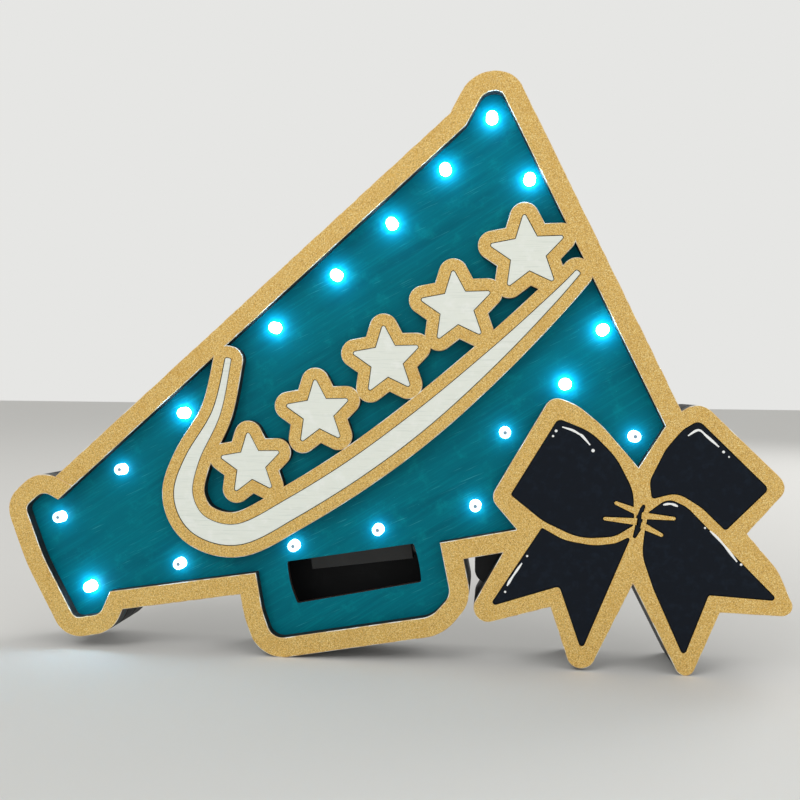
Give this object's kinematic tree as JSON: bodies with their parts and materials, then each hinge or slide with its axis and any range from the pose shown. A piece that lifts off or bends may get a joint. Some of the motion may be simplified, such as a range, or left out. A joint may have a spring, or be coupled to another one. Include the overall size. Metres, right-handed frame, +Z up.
{
  "type": "light-up cheer megaphone sign",
  "caption": "Layered wooden sign shaped like a cheer megaphone with a bow, lit by small lamps from a battery case in its back",
  "frame": {"origin": "the middle of the box's bottom face: halfway along the width and through the depth, at the level that the handle's corner and the right bow tail stand on", "axes": "+X towards the bow, +Y from the lit face to the back panel, +Z up"},
  "size_m": [0.3568, 0.0332, 0.2652],
  "materials": {
    "gold_paint": "metallic gold acrylic paint, brushed on",
    "white_paint": "matt off-white paint with faint grain",
    "teal_paint": "brushed teal stain-paint, satin",
    "black_paint": "matt black paint",
    "bow_black": "matt blue-black paint with white highlight strokes",
    "lamp_epoxy": "clear moulded epoxy, lit cool white",
    "wire_sheath": "black PVC",
    "plated_steel": "bright zinc plated",
    "case_plastic": "fine moulded texture",
    "cell_sleeve": "plain printed sleeve, no marks"
  },
  "bodies": {
    "sign": {"face_frame": "gold_paint", "face_panel": "teal_paint", "star_inlay_1": "white_paint", "star_inlay_2": "white_paint", "star_inlay_3": "white_paint", "star_inlay_4": "white_paint", "star_inlay_5": "white_paint", "sweep_inlay": "white_paint", "bow_left_loop": "bow_black", "bow_right_loop": "bow_black", "bow_left_tail": "bow_black", "bow_right_tail": "bow_black", "bow_knot": "bow_black", "spacer_ring_front": "black_paint", "spacer_ring_rear": "black_paint", "bow_backer": "black_paint", "back_panel": "black_paint", "lamp_01": "lamp_epoxy", "lamp_02": "lamp_epoxy", "lamp_03": "lamp_epoxy", "lamp_04": "lamp_epoxy", "lamp_05": "lamp_epoxy", "lamp_06": "lamp_epoxy", "lamp_07": "lamp_epoxy", "lamp_08": "lamp_epoxy", "lamp_09": "lamp_epoxy", "lamp_10": "lamp_epoxy", "lamp_11": "lamp_epoxy", "lamp_12": "lamp_epoxy", "lamp_13": "lamp_epoxy", "lamp_14": "lamp_epoxy", "lamp_15": "lamp_epoxy", "lamp_16": "lamp_epoxy", "lamp_17": "lamp_epoxy", "lamp_18": "lamp_epoxy", "light_string_wire": "wire_sheath", "back_screw_1": "plated_steel", "back_screw_2": "plated_steel", "back_screw_3": "plated_steel", "back_screw_4": "plated_steel", "back_screw_5": "plated_steel", "back_screw_6": "plated_steel", "battery_case": "case_plastic", "aa_cell_1": "cell_sleeve", "aa_cell_2": "cell_sleeve", "aa_cell_3": "cell_sleeve", "cell_spring_1": "plated_steel", "cell_spring_2": "plated_steel", "cell_spring_3": "plated_steel", "contact_plate_1": "plated_steel", "contact_plate_2": "plated_steel", "contact_plate_3": "plated_steel", "switch_body": "plated_steel"},
    "lid": {"battery_lid": "case_plastic"},
    "switch": {"battery_switch": "case_plastic"}
  },
  "joints": [
    {"name": "lid_slide", "type": "slide", "parent": "sign", "child": "lid", "axis": [-0.1392, 0, 0.9903], "range_m": [0, 0.012]},
    {"name": "switch_slide", "type": "slide", "parent": "sign", "child": "switch", "axis": [0.9903, 0, 0.1392], "range_m": [0, 0.003]}
  ]
}
